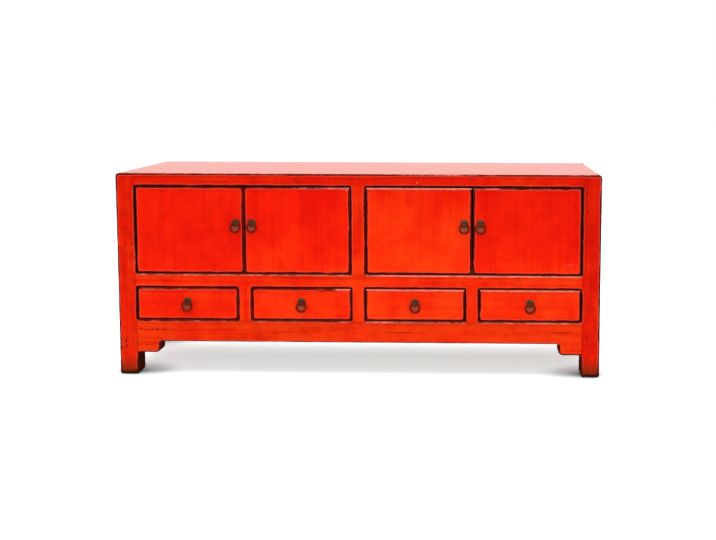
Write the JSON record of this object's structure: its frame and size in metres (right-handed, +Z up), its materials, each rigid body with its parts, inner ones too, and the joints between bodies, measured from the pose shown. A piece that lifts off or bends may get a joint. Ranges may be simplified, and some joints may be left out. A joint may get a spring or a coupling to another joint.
{
  "type": "tv cabinet",
  "caption": "Low lacquered cabinet with paired flush doors over a row of flush drawers, on square legs with a bracketed apron, with round plates and ring pulls.",
  "frame": {"origin": "on the floor, under the middle of the whole outline with its pulls", "axes": "+X to the right along the front, +Y to the back, +Z up; doors and drawers face -Y"},
  "size_m": [1.5, 0.4668, 0.634],
  "materials": {
    "red_lacquer": "glossy vermilion lacquer over wood, mottled, worn dark along the edges",
    "inner_wood": "plain planed wood, oiled brown",
    "dark_metal": "dark bronze-brown patina, rubbed brighter on the high spots"
  },
  "bodies": {
    "carcass": {"front_left_leg": "red_lacquer", "front_right_leg": "red_lacquer", "rear_legs": "red_lacquer", "top_front_rail": "red_lacquer", "top_end_rails": "red_lacquer", "top_boards": "red_lacquer", "top_battens": "inner_wood", "middle_rail": "red_lacquer", "bottom_rail": "red_lacquer", "centre_stile": "red_lacquer", "drawer_dividers": "red_lacquer", "front_apron": "red_lacquer", "end_panels": "red_lacquer", "end_rails": "red_lacquer", "end_aprons": "red_lacquer", "rear_rails": "inner_wood", "back_panels": "inner_wood", "cupboard_floor": "inner_wood", "cupboard_partition": "inner_wood", "drawer_runners": "inner_wood"},
    "door_1": {"door_1_leaf": "red_lacquer", "door_1_battens": "inner_wood", "door_1_pivots": "inner_wood", "door_1_pull": "dark_metal"},
    "door_1_ring": {"door_1_ring": "dark_metal"},
    "door_2": {"door_2_leaf": "red_lacquer", "door_2_battens": "inner_wood", "door_2_pivots": "inner_wood", "door_2_pull": "dark_metal"},
    "door_2_ring": {"door_2_ring": "dark_metal"},
    "door_3": {"door_3_leaf": "red_lacquer", "door_3_battens": "inner_wood", "door_3_pivots": "inner_wood", "door_3_pull": "dark_metal"},
    "door_3_ring": {"door_3_ring": "dark_metal"},
    "door_4": {"door_4_leaf": "red_lacquer", "door_4_battens": "inner_wood", "door_4_pivots": "inner_wood", "door_4_pull": "dark_metal"},
    "door_4_ring": {"door_4_ring": "dark_metal"},
    "drawer_1": {"drawer_1_front": "red_lacquer", "drawer_1_box": "inner_wood", "drawer_1_bottom": "inner_wood", "drawer_1_pull": "dark_metal"},
    "drawer_1_ring": {"drawer_1_ring": "dark_metal"},
    "drawer_2": {"drawer_2_front": "red_lacquer", "drawer_2_box": "inner_wood", "drawer_2_bottom": "inner_wood", "drawer_2_pull": "dark_metal"},
    "drawer_2_ring": {"drawer_2_ring": "dark_metal"},
    "drawer_3": {"drawer_3_front": "red_lacquer", "drawer_3_box": "inner_wood", "drawer_3_bottom": "inner_wood", "drawer_3_pull": "dark_metal"},
    "drawer_3_ring": {"drawer_3_ring": "dark_metal"},
    "drawer_4": {"drawer_4_front": "red_lacquer", "drawer_4_box": "inner_wood", "drawer_4_bottom": "inner_wood", "drawer_4_pull": "dark_metal"},
    "drawer_4_ring": {"drawer_4_ring": "dark_metal"}
  },
  "joints": [
    {"name": "door_1_swing", "type": "hinge", "parent": "carcass", "child": "door_1", "pos_m": [-0.676, -0.20655, 0.3205], "axis": [0, 0, -1], "range_deg": [0, 105]},
    {"name": "door_1_ring_swing", "type": "hinge", "parent": "door_1", "child": "door_1_ring", "pos_m": [-0.378, -0.22675, 0.481], "axis": [-1, 0, 0], "range_deg": [-8, 110]},
    {"name": "door_2_swing", "type": "hinge", "parent": "carcass", "child": "door_2", "pos_m": [-0.038, -0.20655, 0.3205], "axis": [0, 0, 1], "range_deg": [0, 85]},
    {"name": "door_2_ring_swing", "type": "hinge", "parent": "door_2", "child": "door_2_ring", "pos_m": [-0.328, -0.22675, 0.481], "axis": [-1, 0, 0], "range_deg": [-8, 110]},
    {"name": "door_3_swing", "type": "hinge", "parent": "carcass", "child": "door_3", "pos_m": [0.038, -0.20655, 0.3205], "axis": [0, 0, -1], "range_deg": [0, 85]},
    {"name": "door_3_ring_swing", "type": "hinge", "parent": "door_3", "child": "door_3_ring", "pos_m": [0.328, -0.22675, 0.481], "axis": [-1, 0, 0], "range_deg": [-8, 110]},
    {"name": "door_4_swing", "type": "hinge", "parent": "carcass", "child": "door_4", "pos_m": [0.676, -0.20655, 0.3205], "axis": [0, 0, 1], "range_deg": [0, 105]},
    {"name": "door_4_ring_swing", "type": "hinge", "parent": "door_4", "child": "door_4_ring", "pos_m": [0.378, -0.22675, 0.481], "axis": [-1, 0, 0], "range_deg": [-8, 110]},
    {"name": "drawer_1_slide", "type": "slide", "parent": "carcass", "child": "drawer_1", "axis": [0, -1, 0], "range_m": [0, 0.28]},
    {"name": "drawer_1_ring_swing", "type": "hinge", "parent": "drawer_1", "child": "drawer_1_ring", "pos_m": [-0.5325, -0.22675, 0.2335], "axis": [-1, 0, 0], "range_deg": [-8, 110]},
    {"name": "drawer_2_slide", "type": "slide", "parent": "carcass", "child": "drawer_2", "axis": [0, -1, 0], "range_m": [0, 0.28]},
    {"name": "drawer_2_ring_swing", "type": "hinge", "parent": "drawer_2", "child": "drawer_2_ring", "pos_m": [-0.1765, -0.22675, 0.2335], "axis": [-1, 0, 0], "range_deg": [-8, 110]},
    {"name": "drawer_3_slide", "type": "slide", "parent": "carcass", "child": "drawer_3", "axis": [0, -1, 0], "range_m": [0, 0.28]},
    {"name": "drawer_3_ring_swing", "type": "hinge", "parent": "drawer_3", "child": "drawer_3_ring", "pos_m": [0.1765, -0.22675, 0.2335], "axis": [-1, 0, 0], "range_deg": [-8, 110]},
    {"name": "drawer_4_slide", "type": "slide", "parent": "carcass", "child": "drawer_4", "axis": [0, -1, 0], "range_m": [0, 0.28]},
    {"name": "drawer_4_ring_swing", "type": "hinge", "parent": "drawer_4", "child": "drawer_4_ring", "pos_m": [0.5325, -0.22675, 0.2335], "axis": [-1, 0, 0], "range_deg": [-8, 110]}
  ]
}
